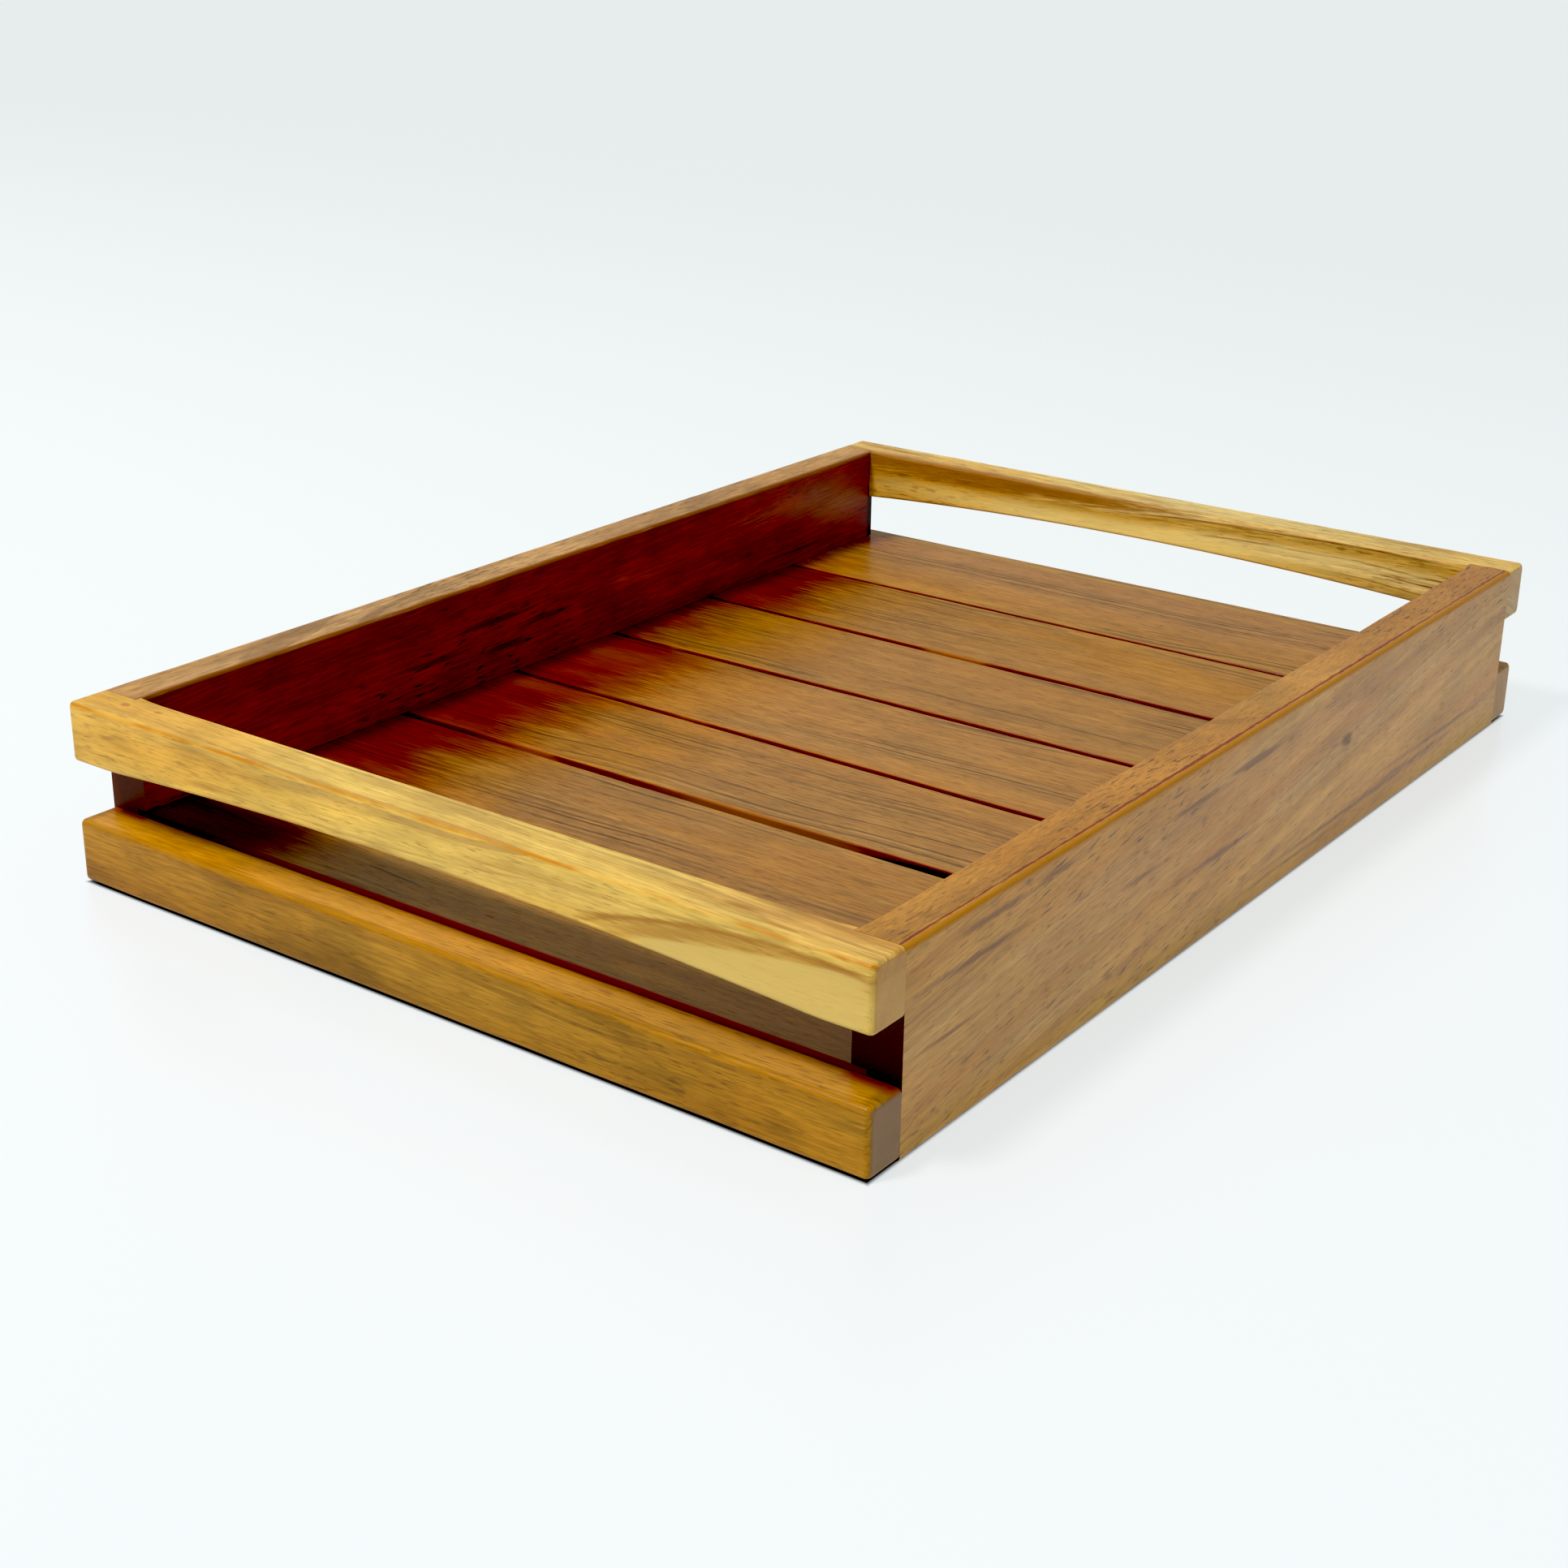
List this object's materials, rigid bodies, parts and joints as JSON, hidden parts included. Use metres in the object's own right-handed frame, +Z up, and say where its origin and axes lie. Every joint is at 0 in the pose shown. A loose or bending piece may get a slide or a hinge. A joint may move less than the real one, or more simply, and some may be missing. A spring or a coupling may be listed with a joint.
{
  "type": "serving tray",
  "caption": "Rectangular wooden serving tray with a slatted floor, upright side boards and an open finger gap under a rail at each end.",
  "frame": {"origin": "on the ground, under the centre of the tray's bounding box", "axes": "+X across the width towards the right side board, +Y along the length towards the rear rails, +Z up"},
  "size_m": [0.3, 0.43, 0.0605],
  "materials": {
    "side_wood_left": "dark reddish-brown lacquered hardwood, satin",
    "side_wood_right": "mid-brown lacquered hardwood with dark streaks, satin",
    "handle_wood": "golden lacquered hardwood, satin",
    "lower_rail_wood": "golden-brown lacquered hardwood, satin",
    "slat_wood": "mid-brown lacquered hardwood, semi-gloss",
    "dowel_wood": "bare pale hardwood"
  },
  "bodies": {
    "root": {"side_board_left": "side_wood_left", "side_board_right": "side_wood_right", "front_handle_rail": "handle_wood", "front_lower_rail": "lower_rail_wood", "rear_handle_rail": "handle_wood", "rear_lower_rail": "lower_rail_wood", "floor_slat_1": "slat_wood", "floor_slat_2": "slat_wood", "floor_slat_3": "slat_wood", "floor_slat_4": "slat_wood", "floor_slat_5": "slat_wood", "floor_slat_6": "slat_wood", "floor_slat_7": "slat_wood", "dowel_front_upper_left": "dowel_wood", "dowel_front_upper_right": "dowel_wood", "dowel_front_lower_left": "dowel_wood", "dowel_front_lower_right": "dowel_wood", "dowel_rear_upper_left": "dowel_wood", "dowel_rear_upper_right": "dowel_wood", "dowel_rear_lower_left": "dowel_wood", "dowel_rear_lower_right": "dowel_wood"}
  },
  "joints": []
}
